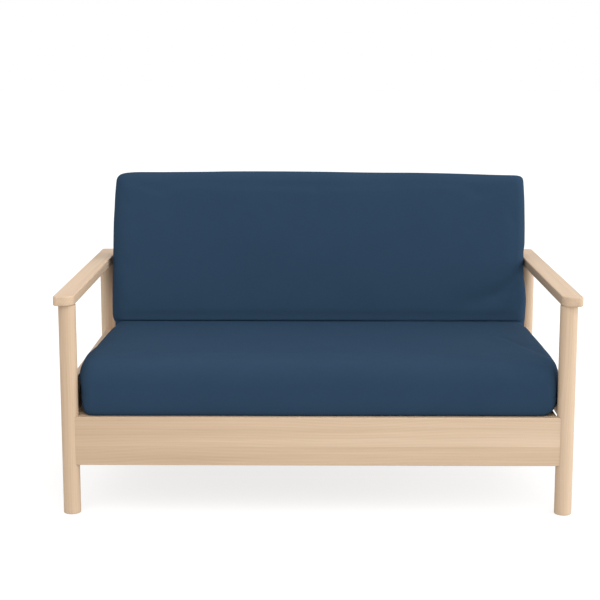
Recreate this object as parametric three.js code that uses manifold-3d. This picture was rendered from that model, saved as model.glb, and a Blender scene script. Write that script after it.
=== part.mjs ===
// A two-seat futon sofa: a cloth futon cover, filled by its mattress and folded once into a seat
// and a back, lying on a plain wooden frame with round posts and flat armrests.
//
// Units are millimetres. X runs along the front, Y from the front to the back and Z up.
// The parts are laid out with Y = 0 on the front posts' axes, then the whole sofa is moved so
// that the origin is on the floor, under the middle of its outline.

import * as THREE from 'three';
import { mergeVertices } from 'three/addons/utils/BufferGeometryUtils.js';
import Module from 'manifold-3d';

const wasm = await Module();
wasm.setup();

// ---------------------------------------------------------------- driving dimensions

const GAP = 0.3;                 // between pieces that touch
const SIDES = { left: -1, right: 1 };

const post = { radius: 25, x: 714.5, back: 825, footEase: 3, sides: 48 };
const arm = { inner: 690.5, outer: 750, front: -35, back: 960, top: 644, thickness: 28, ease: 4 };
const rail = { top: 290, bottom: 147, front: -18.5, thickness: 24, end: 700, ease: 4 };
const sideBoard = { inner: 703.3, thickness: 18, top: 387, bottom: 274, end: 19.3 };
const batten = { width: 25, height: 45, length: 1379 };
const slat = { count: 9, width: 70, thickness: 18, left: -703, right: 690 };
const backrest = {
  thickness: 24, outer: 689.2, stileWidth: 45, length: 585,
  railHeight: 70, slatCount: 7, slatWidth: 70, slatThickness: 14,
};

const lean = THREE.MathUtils.degToRad(16.2);     // of the back and of the backrest
const fold = new THREE.Vector2(617.5, 451.5);    // Y and Z of the crease of seat and back
const cover = {
  bottom: rail.top + GAP,
  front: -15.5,          // Y of the front face
  frontMiddle: 66,       // its foremost line lies this far above the cover's bottom
  frontCorner: 30,       // radius of the seat's front corners, seen from above
  backLength: 510,       // from the crease to the top edge
  backDepth: 142,        // from the crease to the back's rear face
  swell: 8,              // how far the back's face stands out past the crease
  swellRise: 12,         // over this height
  seatNose: 62,          // how far the rounding of the front edge reaches above ...
  frontHem: 20,          // ... and below
  topNose: 52,           // how far the top edge's rounding reaches
  topCorner: { left: 26, right: 18 },
  seatCrown: 6,
  backCrown: 6,
  creaseDepth: 9,
  creaseLip: 2,          // the seat's and the back's faces end this far from the crease line
};
// How square each rounded edge is: 2 is a quarter of an ellipse, and more is squarer.
const square = {
  frontUpper: 2.4, frontLower: 2, topFront: 2.2, topRear: 3, sideUpper: 2.7, sideLower: 3.1,
  rearCorner: 5, plain: 2,
};
const crownPower = 0.7;          // under 1 the crowns are flat in the middle

const up = new THREE.Vector2(Math.sin(lean), Math.cos(lean));       // along the back, in Y and Z
const out = new THREE.Vector2(-Math.cos(lean), Math.sin(lean));     // out of the back's face

// ---------------------------------------------------------------- materials

const wood = new THREE.MeshStandardMaterial({ color: 0xdcbf9c, roughness: 0.55, metalness: 0 });
const cloth = new THREE.MeshStandardMaterial({ color: 0x2f4861, roughness: 0.95, metalness: 0 });

// ---------------------------------------------------------------- solids: joining and cutting

function toManifold(geometry) {
  const bare = geometry.clone();
  bare.deleteAttribute('normal');
  bare.deleteAttribute('uv');
  const merged = mergeVertices(bare, 1e-3);
  return new wasm.Manifold(new wasm.Mesh({
    numProp: 3,
    vertProperties: new Float32Array(merged.attributes.position.array),
    triVerts: new Uint32Array(merged.index.array),
  }));
}

function fromManifold(solid) {
  const mesh = solid.getMesh();
  const geometry = new THREE.BufferGeometry();
  geometry.setAttribute('position', new THREE.BufferAttribute(mesh.vertProperties, 3));
  geometry.setIndex(new THREE.BufferAttribute(mesh.triVerts, 1));
  geometry.computeVertexNormals();
  return geometry;
}

// A box given by its lowest and highest corners.
function block(low, high) {
  const size = high.map((value, axis) => value - low[axis]);
  const geometry = new THREE.BoxGeometry(...size);
  geometry.translate(...low.map((value, axis) => value + size[axis] / 2));
  return geometry;
}

// A board along X with rounded long edges, given by its lowest and highest corners.
function boardAlongX(low, high, ease, steps) {
  const [y0, z0, y1, z1] = [low[1], low[2], high[1], high[2]];
  const section = roundedRectangle(y0, z0, y1, z1, [ease, ease, ease, ease]);
  const geometry = new THREE.ExtrudeGeometry(section, {
    depth: high[0] - low[0], bevelEnabled: false, curveSegments: steps,
  });
  // the section's plane turns from X and Y to Y and Z, and the run from Z to X
  geometry.applyMatrix4(new THREE.Matrix4().makeBasis(
    new THREE.Vector3(0, 1, 0), new THREE.Vector3(0, 0, 1), new THREE.Vector3(1, 0, 0)));
  geometry.translate(low[0], 0, 0);
  return geometry;
}

// radii: at the corners low-low, high-low, high-high, low-high
function roundedRectangle(x0, y0, x1, y1, radii) {
  const [a, b, c, d] = radii;
  const quarter = Math.PI / 2;
  const shape = new THREE.Shape();
  shape.moveTo(x0 + a, y0);
  shape.lineTo(x1 - b, y0);
  shape.absarc(x1 - b, y0 + b, b, -quarter, 0, false);
  shape.lineTo(x1, y1 - c);
  shape.absarc(x1 - c, y1 - c, c, 0, quarter, false);
  shape.lineTo(x0 + d, y1);
  shape.absarc(x0 + d, y1 - d, d, quarter, 2 * quarter, false);
  shape.lineTo(x0, y0 + a);
  shape.absarc(x0 + a, y0 + a, a, 2 * quarter, 3 * quarter, false);
  return shape;
}

// ---------------------------------------------------------------- the wooden frame

// A round post, with a housing for each board that is let into it.
function makePost(x, y, housings) {
  const { radius, footEase, sides } = post;
  const top = arm.top - arm.thickness - GAP;
  const firstFacet = footEase * 0.3;      // the eased edge has two facets
  const profile = [
    new THREE.Vector2(0, 0),
    new THREE.Vector2(radius - footEase, 0),
    new THREE.Vector2(radius - firstFacet, firstFacet),
    new THREE.Vector2(radius, footEase),
    new THREE.Vector2(radius, top),
    new THREE.Vector2(0, top),
  ];
  const geometry = new THREE.LatheGeometry(profile, sides);
  geometry.rotateX(Math.PI / 2);
  geometry.translate(x, y, 0);
  let solid = toManifold(geometry);
  for (const [low, high] of housings) solid = solid.subtract(toManifold(block(low, high)));
  return fromManifold(solid);
}

// The space that a board needs: its box with the gap all round.
function housing(low, high) {
  return [low.map((value) => value - GAP), high.map((value) => value + GAP)];
}

// A flat armrest: a board seen from above, with a wide round at its inner front corner.
function makeArm(side) {
  const { inner, outer, front, back, top, thickness, ease } = arm;
  const round = { innerFront: 30, outerFront: 14, back: 10 };
  const corners = side === 'right'
    ? [round.innerFront, round.outerFront, round.back, round.back]
    : [round.outerFront, round.innerFront, round.back, round.back];
  const [x0, x1] = side === 'right' ? [inner, outer] : [-outer, -inner];
  const plan = roundedRectangle(x0 + ease, front + ease, x1 - ease, back - ease,
    corners.map((radius) => radius - ease));
  const geometry = new THREE.ExtrudeGeometry(plan, {
    depth: thickness - 2 * ease, bevelEnabled: true, bevelSize: ease, bevelThickness: ease,
    bevelSegments: 3, curveSegments: 8,
  });
  geometry.translate(0, 0, top - thickness + ease);
  return geometry;
}

const frontRailBox = [
  [-rail.end, rail.front, rail.bottom],
  [rail.end, rail.front + rail.thickness, rail.top],
];
const backRailBox = [
  [-rail.end, post.back - rail.thickness / 2, rail.bottom],
  [rail.end, post.back + rail.thickness / 2, rail.top],
];

function sideBoardBox(side) {
  const { inner, thickness, bottom, top, end } = sideBoard;
  const x = side === 'right' ? inner : -inner - thickness;
  return [[x, end, bottom], [x + thickness, post.back - end, top]];
}

function frameParts() {
  const parts = [];
  for (const [side, sign] of Object.entries(SIDES)) {
    const board = sideBoardBox(side);
    const frontHousings = [housing(...frontRailBox), housing(...board)];
    const backHousings = [housing(...backRailBox), housing(...board)];
    parts.push([`front_post_${side}`, makePost(sign * post.x, 0, frontHousings)]);
    parts.push([`back_post_${side}`, makePost(sign * post.x, post.back, backHousings)]);
    parts.push([`armrest_${side}`, makeArm(side)]);
    parts.push([`side_board_${side}`, block(...board)]);
  }
  parts.push(['front_rail', boardAlongX(...frontRailBox, rail.ease, 4)]);
  parts.push(['back_rail', boardAlongX(...backRailBox, rail.ease, 2)]);
  return parts;
}

// The seat deck, level with the rails: a batten along each rail, and slats between the battens,
// pushed over against the left side board.
function deckParts() {
  const parts = [];
  const frontFace = frontRailBox[1][1] + GAP;
  const backFace = backRailBox[0][1] - GAP;
  const half = batten.length / 2;
  const battenBottom = rail.top - batten.height;
  parts.push(['deck_batten_front', block(
    [-half, frontFace, battenBottom], [half, frontFace + batten.width, rail.top])]);
  parts.push(['deck_batten_back', block(
    [-half, backFace - batten.width, battenBottom], [half, backFace, rail.top])]);
  const pitch = (slat.right - slat.left - slat.width) / (slat.count - 1);
  for (let i = 0; i < slat.count; i += 1) {
    const x = slat.left + i * pitch;
    parts.push([`deck_slat_${i + 1}`, block(
      [x, frontFace + batten.width + GAP, rail.top - slat.thickness],
      [x + slat.width, backFace - batten.width - GAP, rail.top])]);
  }
  return parts;
}

// A piece of the leaning backrest: from..to along the lean, with its front face set back.
function leaningPiece(x0, x1, from, to, setBack, thickness, levelFoot) {
  const foot = backrestFoot();
  const at = (along, back) => new THREE.Vector2(
    foot.x + up.x * along - out.x * back,
    foot.y + up.y * along - out.y * back);
  const levelShift = levelFoot ? thickness * Math.tan(lean) : 0;
  const shape = new THREE.Shape([
    at(from, setBack), at(from + levelShift, setBack + thickness),
    at(to, setBack + thickness), at(to, setBack),
  ]);
  const geometry = new THREE.ExtrudeGeometry(shape, { depth: x1 - x0, bevelEnabled: false });
  geometry.applyMatrix4(new THREE.Matrix4().makeBasis(
    new THREE.Vector3(0, 1, 0), new THREE.Vector3(0, 0, 1), new THREE.Vector3(1, 0, 0)));
  geometry.translate(x0, 0, 0);
  return geometry;
}

// Where the backrest's front face meets the deck, in Y and Z.
function backrestFoot() {
  const rear = fold.clone().addScaledVector(out, -cover.backDepth - GAP);
  const down = (rear.y - rail.top - GAP) / up.y;
  return rear.addScaledVector(up, -down);
}

function backrestParts() {
  const parts = [];
  const { thickness, outer, stileWidth, length, railHeight } = backrest;
  const { slatCount, slatWidth, slatThickness } = backrest;
  const innerEdge = outer - stileWidth;
  parts.push(['backrest_stile_left',
    leaningPiece(-outer, -innerEdge, 0, length, 0, thickness, true)]);
  parts.push(['backrest_stile_right',
    leaningPiece(innerEdge, outer, 0, length, 0, thickness, true)]);
  const railHalf = innerEdge - GAP;
  parts.push(['backrest_rail_bottom',
    leaningPiece(-railHalf, railHalf, 0, railHeight, 0, thickness, true)]);
  parts.push(['backrest_rail_top',
    leaningPiece(-railHalf, railHalf, length - railHeight, length, 0, thickness, false)]);
  const pitch = (2 * railHalf) / slatCount;
  const setBack = (thickness - slatThickness) / 2;
  for (let i = 0; i < slatCount; i += 1) {
    const middle = -railHalf + (i + 0.5) * pitch;
    parts.push([`backrest_slat_${i + 1}`, leaningPiece(
      middle - slatWidth / 2, middle + slatWidth / 2,
      railHeight + GAP, length - railHeight - GAP, setBack, slatThickness, false)]);
  }
  return parts;
}

// ---------------------------------------------------------------- the futon cover

// How far the cover reaches to each side, along the seat (from the front) ...
const seatWidths = [
  { at: 0, left: 685, right: 688 },
  { at: 18, left: 686, right: 688.5 },
  { at: 62, left: 694, right: 702 },
  { at: 160, left: 698.5, right: 702.5 },
  { at: 280, left: 688.5, right: 700.5 },
  { at: 530, left: 681, right: 697 },
  { at: 631.5, left: 672, right: 690.5 },
];
// ... and along the back (from the crease), with the arm's pinch on the right.
const backWidths = [
  { at: 0, left: 672, right: 690.5 },
  { at: 16, left: 681.5, right: 693 },
  { at: 80, left: 683, right: 697 },
  { at: 125, left: 683, right: 692.5 },
  { at: 158, left: 683, right: 689.2 },
  { at: 234, left: 683, right: 689.2 },
  { at: 262, left: 683.5, right: 694 },
  { at: 330, left: 683.5, right: 695.5 },
  { at: 410, left: 680.5, right: 696 },
  { at: 510, left: 675, right: 694 },
];
// The soft fold that runs from the armrest on the right down to the crease: a trough on the back.
const trough = [
  { x: 700, up: 150, depth: 9, width: 20 },
  { x: 620, up: 117, depth: 7, width: 24 },
  { x: 545, up: 92, depth: 5, width: 30 },
  { x: 460, up: 60, depth: 3, width: 34 },
  { x: 380, up: 40, depth: 0, width: 36 },
];
// The roll of cloth below that fold: its height as a share of the fold's depth, and how many
// of the fold's widths it lies below it.
const roll = { share: 0.45, below: 1.9 };
// How far the top edge stands below its highest point.
const topDrop = [
  { x: -690, drop: 8 },
  { x: -600, drop: 2.5 },
  { x: -300, drop: 0 },
  { x: 0, drop: 0.8 },
  { x: 300, drop: 3.8 },
  { x: 690, drop: 12.5 },
];

// The rounded sides: how far each reaches in from the side, above and below its widest line,
// how high that line lies, and how far the side board holds the cloth in below its top edge.
const sideRound = {
  left: { upper: 44, lower: 26, widest: 0.47, heldIn: 4.5 },
  right: { upper: 44, lower: 60, widest: 0.4, heldIn: 0 },
};
const heldFrom = -8;          // the side board starts to hold the cloth this far above its top
const heldFully = 14;         // and holds it in fully this far below
const topSag = 250;           // the top edge's unevenness fades out down to here along the back
const faceStarts = 0.5;       // the trough is cut into the front of the back: nothing below this
const faceFull = 0.95;        // share of its depth, and all of it above this one
const SIDE_STEPS = 5;
const FLAT_STEPS = 18;

// A smooth value from a table's column, between the rows around `at`.
function lookUp(rows, key, column, at) {
  const forward = rows[rows.length - 1][key] > rows[0][key];
  const list = forward ? rows : [...rows].reverse();
  if (at <= list[0][key]) return list[0][column];
  for (let i = 1; i < list.length; i += 1) {
    if (at <= list[i][key]) {
      const part = (at - list[i - 1][key]) / (list[i][key] - list[i - 1][key]);
      const eased = THREE.MathUtils.smoothstep(part, 0, 1);
      return THREE.MathUtils.lerp(list[i - 1][column], list[i][column], (part + eased) / 2);
    }
  }
  return list[list.length - 1][column];
}

// The height of a rounded edge, as a part of its full height, at a part `t` of its reach.
function rounding(t, power) {
  return (1 - (1 - Math.min(t, 1)) ** power) ** (1 / power);
}

// One station of the seat, a section across the cover at `at` behind its front face.
function seatStation(at) {
  const { front, bottom, frontMiddle, frontHem, frontCorner, seatNose, seatCrown } = cover;
  const full = fold.y - bottom;
  const inset = frontCorner * (1 - rounding(at / frontCorner, square.plain));
  const share = Math.min(1, at / (fold.x - front));
  return {
    base: new THREE.Vector2(front + at, bottom),
    direction: new THREE.Vector2(0, 1),
    low: frontMiddle * (1 - rounding(at / frontHem, square.frontLower)),
    high: frontMiddle + (full - frontMiddle) * rounding(at / seatNose, square.frontUpper),
    left: lookUp(seatWidths, 'at', 'left', at) - inset,
    right: lookUp(seatWidths, 'at', 'right', at) - inset,
    crown: seatCrown * Math.sin(Math.PI * share) ** crownPower,
    along: null,
  };
}

// A station of the fold, on a plane through the crease, `turn` from upright.
function foldStation(part) {
  const whole = Math.PI / 2 - lean;
  const turn = part * whole;
  const away = new THREE.Vector2(Math.sin(turn), -Math.cos(turn));
  const toDeck = Math.cos(turn) / (fold.y - cover.bottom);
  const toBackrest = Math.cos(whole - turn) / cover.backDepth;
  const power = square.rearCorner;
  const reach = (toDeck ** power + toBackrest ** power) ** (-1 / power);
  return {
    base: fold.clone().addScaledVector(away, reach),
    direction: away.clone().negate(),
    low: 0,
    high: reach - cover.creaseDepth * Math.sin(Math.PI * part),
    left: backWidths[0].left,
    right: backWidths[0].right,
    crown: 0,
    along: null,
  };
}

// One station of the back, `along` its length from the crease.
function backStation(along) {
  const { backDepth, backLength, backCrown, swell, swellRise, topNose, topCorner } = cover;
  const left = backLength - along;            // of the length, up to the top edge
  const full = backDepth + swell * rounding(along / swellRise, square.plain);
  const middle = 0.5 * full;
  const inset = (radius) => radius * (1 - rounding(left / radius, square.plain));
  return {
    base: fold.clone().addScaledVector(out, -backDepth).addScaledVector(up, along),
    direction: out,
    low: middle * (1 - rounding(left / topNose, square.topRear)),
    high: middle + (full - middle) * rounding(left / topNose, square.topFront),
    left: lookUp(backWidths, 'at', 'left', along) - inset(topCorner.left),
    right: lookUp(backWidths, 'at', 'right', along) - inset(topCorner.right),
    crown: backCrown * Math.sin(Math.PI * along / backLength) ** crownPower,
    along,
  };
}

function stations() {
  const noseParts = [0.01, 0.07, 0.2, 0.42, 0.7, 1];
  const seatLength = fold.x - cover.front - cover.creaseLip;
  const list = noseParts.map((t) => seatStation(t * cover.seatNose));
  const seatSteps = 9;
  for (let i = 1; i <= seatSteps; i += 1) {
    list.push(seatStation(THREE.MathUtils.lerp(cover.seatNose, seatLength, i / seatSteps)));
  }
  const foldSteps = 6;
  for (let i = 1; i < foldSteps; i += 1) list.push(foldStation(i / foldSteps));
  for (const t of [0.08, 0.24, 0.55, 1]) list.push(backStation(t * cover.swellRise));
  const plain = cover.backLength - cover.topNose - cover.swellRise;
  const backSteps = 17;
  for (let i = 1; i < backSteps; i += 1) {
    list.push(backStation(cover.swellRise + plain * i / backSteps));
  }
  for (const t of [...noseParts].reverse()) {
    list.push(backStation(cover.backLength - t * cover.topNose));
  }
  return list;
}

// The ring of points round one station: over the top from right to left, back under it.
function ring(station) {
  const { low, high, left, right, crown, along } = station;
  const boardTop = sideBoard.top - cover.bottom;
  const sideCurve = (side, edge, sign, upper) => {
    const { widest, heldIn } = sideRound[side];
    const middle = low + widest * (high - low);
    const reach = upper ? sideRound[side].upper : sideRound[side].lower;
    const power = upper ? square.sideUpper : square.sideLower;
    const height = (upper ? high : low) - middle;
    const curve = [];
    for (let i = 0; i <= SIDE_STEPS; i += 1) {
      const angle = (Math.PI / 2) * (i / SIDE_STEPS);
      const level = middle + height * Math.sin(angle) ** (2 / power);
      const held = THREE.MathUtils.smoothstep(boardTop - level, heldFrom, heldFully);
      const across = reach * (1 - Math.cos(angle) ** (2 / power));
      const tucked = along === null ? heldIn * held : 0;
      curve.push([sign * (edge - across - tucked), level]);
    }
    return curve;
  };
  const flat = (from, to, height, bulge) => {
    const curve = [];
    for (let i = 1; i < FLAT_STEPS; i += 1) {
      const part = i / FLAT_STEPS;
      const arch = 1 - (2 * part - 1) ** 2;
      curve.push([THREE.MathUtils.lerp(from, to, part), height + bulge * arch]);
    }
    return curve;
  };
  const upperRight = sideCurve('right', right, 1, true);
  const upperLeft = sideCurve('left', left, -1, true).reverse();
  const lowerLeft = sideCurve('left', left, -1, false);
  const lowerRight = sideCurve('right', right, 1, false).reverse();
  const lastOf = (curve) => curve[curve.length - 1];
  return [
    ...upperRight,
    ...flat(lastOf(upperRight)[0], upperLeft[0][0], high, crown),
    ...upperLeft,
    ...lowerLeft.slice(1),
    ...flat(lastOf(lowerLeft)[0], lowerRight[0][0], low, 0),
    ...lowerRight.slice(0, -1),
  ];
}

// How deep the soft fold is at a point of the back's face.
function troughDepth(x, along) {
  if (along === null || x < trough[trough.length - 1].x) return 0;
  const centre = lookUp(trough, 'x', 'up', x);
  const depth = lookUp(trough, 'x', 'depth', x);
  const width = lookUp(trough, 'x', 'width', x);
  const offset = (along - centre) / width;
  const rollBelow = roll.share * Math.exp(-((offset + roll.below) ** 2));
  return depth * (Math.exp(-offset * offset) - rollBelow);
}

function makeCover() {
  const list = stations();
  const positions = [];
  const rings = list.map((station) => {
    const { base, direction, low, high, along } = station;
    return ring(station).map(([x, height]) => {
      const share = THREE.MathUtils.clamp((height - low) / (high - low), 0, 1);
      const onFace = THREE.MathUtils.smoothstep(share, faceStarts, faceFull);
      const level = height - troughDepth(x, along) * onFace;
      const nearTop = along === null ? 0
        : THREE.MathUtils.smoothstep(along, topSag, cover.backLength);
      const drop = nearTop * lookUp(topDrop, 'x', 'drop', x);
      positions.push(
        x,
        base.x + direction.x * level - up.x * drop,
        base.y + direction.y * level - up.y * drop);
      return positions.length / 3 - 1;
    });
  });
  const index = [];
  const count = rings[0].length;
  for (let i = 1; i < rings.length; i += 1) {
    for (let k = 0; k < count; k += 1) {
      const next = (k + 1) % count;
      const [a, b, c, d] = [rings[i - 1][k], rings[i - 1][next], rings[i][next], rings[i][k]];
      index.push(a, c, b, a, d, c);
    }
  }
  closeEnd(rings[0], index, false);
  closeEnd(rings[rings.length - 1], index, true);
  const geometry = new THREE.BufferGeometry();
  geometry.setAttribute('position', new THREE.Float32BufferAttribute(positions, 3));
  geometry.setIndex(index);
  geometry.computeVertexNormals();
  return geometry;
}

// Closes an end with strips between the ring's upper and lower points.
function closeEnd(points, index, flip) {
  const half = points.length / 2;
  const lowerOf = (k) => points[(points.length - k) % points.length];
  for (let k = 0; k < half; k += 1) {
    const [a, b, c, d] = [points[k], points[k + 1], lowerOf(k + 1), lowerOf(k)];
    const quads = flip ? [[a, c, b], [a, d, c]] : [[a, b, c], [a, c, d]];
    for (const triangle of quads) {
      if (new Set(triangle).size === 3) index.push(...triangle);
    }
  }
}

// ---------------------------------------------------------------- the sofa

const sofa = new THREE.Group();
sofa.position.y = -(arm.front + arm.back) / 2;

function add(name, geometry, material) {
  const mesh = new THREE.Mesh(geometry, material);
  mesh.name = name;
  sofa.add(mesh);
}

add('futon_cover', makeCover(), cloth);
for (const [name, geometry] of [...frameParts(), ...deckParts(), ...backrestParts()]) {
  add(name, geometry, wood);
}

export default sofa;
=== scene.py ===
import math

import bmesh
import bpy
import numpy as np
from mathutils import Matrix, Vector, noise


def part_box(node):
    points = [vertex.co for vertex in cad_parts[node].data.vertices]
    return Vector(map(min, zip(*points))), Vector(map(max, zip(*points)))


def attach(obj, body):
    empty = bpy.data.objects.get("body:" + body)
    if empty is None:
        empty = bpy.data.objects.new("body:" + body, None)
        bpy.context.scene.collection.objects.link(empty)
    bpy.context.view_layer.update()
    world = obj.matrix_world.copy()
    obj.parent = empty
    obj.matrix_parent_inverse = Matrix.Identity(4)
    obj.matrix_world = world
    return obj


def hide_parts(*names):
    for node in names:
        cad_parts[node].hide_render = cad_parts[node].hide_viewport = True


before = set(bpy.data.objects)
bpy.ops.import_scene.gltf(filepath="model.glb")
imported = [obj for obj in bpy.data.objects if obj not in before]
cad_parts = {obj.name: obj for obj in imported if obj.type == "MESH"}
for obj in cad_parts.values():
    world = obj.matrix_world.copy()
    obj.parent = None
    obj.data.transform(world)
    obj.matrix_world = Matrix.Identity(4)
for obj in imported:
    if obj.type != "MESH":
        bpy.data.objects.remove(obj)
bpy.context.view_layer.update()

# ------------------------------------------------------------------ the wood of the frame
# The frame is made of a pale, close-grained hardwood, planed, sanded and left with a thin
# matt lacquer. Its figure is faint: long streaks with finer fibres between them.

MM = 0.001


def paint(red, green, blue):
    """A screen colour, each part from 0 to 255, as the linear colour that a shader takes."""
    parts = [value / 255 for value in (red, green, blue)]
    return (*[p / 12.92 if p <= 0.04045 else ((p + 0.055) / 1.055) ** 2.4 for p in parts], 1)


def add_node(tree, kind, inputs=None, **settings):
    """Adds a node. An input is a plain value, or another node's output that it is linked to."""
    node = tree.nodes.new(kind)
    for name, value in settings.items():
        setattr(node, name, value)
    for key, value in (inputs or {}).items():
        if isinstance(value, bpy.types.NodeSocket):
            tree.links.new(value, node.inputs[key])
        else:
            node.inputs[key].default_value = value
    return node


def math_node(tree, operation, *values):
    return add_node(tree, "ShaderNodeMath", dict(enumerate(values)), operation=operation).outputs[0]


def total(tree, first, *others):
    for value in others:
        first = math_node(tree, "ADD", first, value)
    return first


def off_middle(tree, value, middle, share):
    """How far a value lies from its middle, times the share that it counts for."""
    return math_node(tree, "MULTIPLY", math_node(tree, "SUBTRACT", value, middle), share)


def vector_node(tree, operation, *values):
    node = add_node(tree, "ShaderNodeVectorMath", dict(enumerate(values)), operation=operation)
    return node.outputs["Value" if operation == "DOT_PRODUCT" else "Vector"]


def vector_from(tree, x=0.0, y=0.0, z=0.0):
    return add_node(tree, "ShaderNodeCombineXYZ", {0: x, 1: y, 2: z}).outputs[0]


def stretched_noise(tree, place, stretch, detail, roughness):
    """Noise as a value and as a colour, at a place that is multiplied along each axis."""
    return add_node(tree, "ShaderNodeTexNoise", {
        "Vector": vector_node(tree, "MULTIPLY", place, stretch), "Scale": 1.0,
        "Detail": detail, "Roughness": roughness,
    }).outputs


def mix_colours(tree, factor, first, second, blend="MIX"):
    inputs = {0: factor, 6: first, 7: second}
    node = add_node(tree, "ShaderNodeMix", inputs, data_type="RGBA", blend_type=blend)
    return node.outputs[2]


def new_tree(name, kind, inputs, outputs):
    """A node group with its named inputs and outputs, and the nodes that stand for them."""
    tree = bpy.data.node_groups.new(name, kind)
    for way, sockets in (("INPUT", inputs), ("OUTPUT", outputs)):
        for socket, sort in sockets.items():
            tree.interface.new_socket(socket, in_out=way, socket_type="NodeSocket" + sort)
    return tree, tree.nodes.new("NodeGroupInput").outputs, tree.nodes.new("NodeGroupOutput").inputs


def wood_figure_group():
    """Streaks and fibres that run along the X of the place that is handed in, in metres."""
    tree, given, result = new_tree(
        "wood_figure", "ShaderNodeTree",
        {"Place": "Vector", "Tone": "Float", "Pale": "Color", "Deep": "Color"},
        {"Colour": "Color", "Roughness": "Float", "Height": "Float"})
    place = given["Place"]

    # from board-wide drifts of tone down to single fibres, and then the cut year rings
    drift = stretched_noise(tree, place, (0.9, 7, 7), 2, 0.5)[0]
    bands = stretched_noise(tree, place, (1.0, 60, 60), 4, 0.65)[0]
    fibres = stretched_noise(tree, place, (9, 700, 700), 2, 0.55)[0]
    bend = stretched_noise(tree, place, (1.6, 5, 5), 1, 0.5)["Color"]
    across = total(tree, vector_node(tree, "DOT_PRODUCT", place, (0, 1, 0.7)),
                   vector_node(tree, "DOT_PRODUCT", bend, (0, 0.05, 0.03)))
    along = vector_node(tree, "DOT_PRODUCT", place, (0.1, 0, 0))
    rings = add_node(tree, "ShaderNodeTexWave", {
        "Vector": vector_from(tree, along, across), "Scale": 36.0, "Distortion": 0.8,
        "Detail": 2.0, "Detail Scale": 1.5, "Detail Roughness": 0.6,
    }, wave_type="BANDS", bands_direction="Y", wave_profile="SAW").outputs["Fac"]

    shares = [(drift, 0.5), (bands, 0.72), (fibres, 0.36), (rings, 0.17)]
    depth = total(tree, *[off_middle(tree, value, 0.5, share) for value, share in shares],
                  math_node(tree, "MULTIPLY", given["Tone"], 0.35), 0.56)
    depth = add_node(tree, "ShaderNodeClamp", {"Value": depth}).outputs[0]
    tree.links.new(mix_colours(tree, depth, given["Pale"], given["Deep"]), result["Colour"])
    tree.links.new(total(tree, 0.5, off_middle(tree, bands, 0.5, 0.2)), result["Roughness"])
    tree.links.new(total(tree, fibres, math_node(tree, "MULTIPLY", rings, 0.3)), result["Height"])
    return tree


wood_figure = wood_figure_group()
pale_wood = paint(218, 193, 166)
deep_wood = paint(186, 158, 129)
lacquer = {"Specular IOR Level": 0.35}


def new_material(name, plain):
    """A material with the plain values that its own shader has all over the piece."""
    material = bpy.data.materials.new(name)
    material.use_nodes = True
    for key, value in plain.items():
        material.node_tree.nodes["Principled BSDF"].inputs[key].default_value = value
    return material


def join_finish(material, group, inputs, strength, depth):
    """Places a finish in a material, and joins its colour and its relief to the shader."""
    tree = material.node_tree
    finish = add_node(tree, "ShaderNodeGroup", inputs, node_tree=group).outputs
    bump = add_node(tree, "ShaderNodeBump", {
        "Height": finish["Height"], "Strength": strength, "Distance": depth,
    })
    shader = tree.nodes["Principled BSDF"].inputs
    tree.links.new(finish["Colour"], shader["Base Color"])
    tree.links.new(bump.outputs["Normal"], shader["Normal"])
    return finish, shader


def finish_wood(material, place, tone):
    inputs = {"Place": place, "Tone": tone, "Pale": pale_wood, "Deep": deep_wood}
    figure, shader = join_finish(material, wood_figure, inputs, strength=0.25, depth=0.15 * MM)
    material.node_tree.links.new(figure["Roughness"], shader["Roughness"])


def attribute_node(tree, name, output="Fac"):
    return add_node(tree, "ShaderNodeAttribute", attribute_name=name).outputs[output]


planed_wood = new_material("planed_wood", lacquer)
finish_wood(planed_wood, attribute_node(planed_wood.node_tree, "grain_at", "Vector"),
            attribute_node(planed_wood.node_tree, "board_tone"))

# ------------------------------------------------------------------ rails, side boards and deck
# Boards planed on four sides, their edges rounded over with a small cutter. The rails and side
# boards are housed in the posts. A batten is screwed to each rail, level with its top, and nine
# deck slats run from one batten to the other. The rails are painted palest at their right end,
# where the light falls: painted light.

ROUND_STEPS = 4                       # in half of each rounded edge


def new_object(name, data):
    made = bpy.data.objects.new(name, data)
    bpy.context.scene.collection.objects.link(made)
    return made


def new_mesh(name, points, faces=()):
    mesh = bpy.data.meshes.new(name)
    mesh.from_pydata([tuple(p) for p in points], [], faces)
    return mesh


def keep_on_points(mesh, name, values, kind="FLOAT", field="value"):
    mesh.attributes.new(name, kind, "POINT").data.foreach_set(
        field, np.ravel(values).astype(np.float32))


def empty_maker(name, points, attributes):
    """An object whose points carry what a Geometry Nodes tree needs for each copy."""
    mesh = new_mesh(name, points)
    for key, values in attributes.items():
        keep_on_points(mesh, key, values, "FLOAT_VECTOR", "vector")
    return new_object(name, mesh)


def run_tree(maker, tree, inputs):
    """Puts a Geometry Nodes tree on the maker, and sets its inputs by their names."""
    modifier = maker.modifiers.new(tree.name, "NODES")
    modifier.node_group = tree
    for item in tree.interface.items_tree:
        if item.name in inputs:
            modifier[item.identifier] = inputs[item.name]


def evaluated(thing):
    return thing.evaluated_get(bpy.context.evaluated_depsgraph_get())


def wooden_piece(mesh, nodes):
    piece = new_object(mesh.name, mesh)
    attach(piece, "root")
    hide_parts(*nodes)
    return piece


def settled(maker, name, nodes):
    """The plain mesh that a maker's modifiers give, as a wooden piece in place of CAD nodes."""
    mesh = bpy.data.meshes.new_from_object(evaluated(maker))
    bpy.data.meshes.remove(maker.data)
    mesh.name = name
    return wooden_piece(mesh, nodes)


def split(tree, vector):
    return add_node(tree, "ShaderNodeSeparateXYZ", {0: vector}).outputs


def changed(tree, geometry, kind, key, value):
    """The geometry after a node that changes one thing about it."""
    return add_node(tree, "GeometryNode" + kind, {0: geometry, key: value}).outputs[0]


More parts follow.
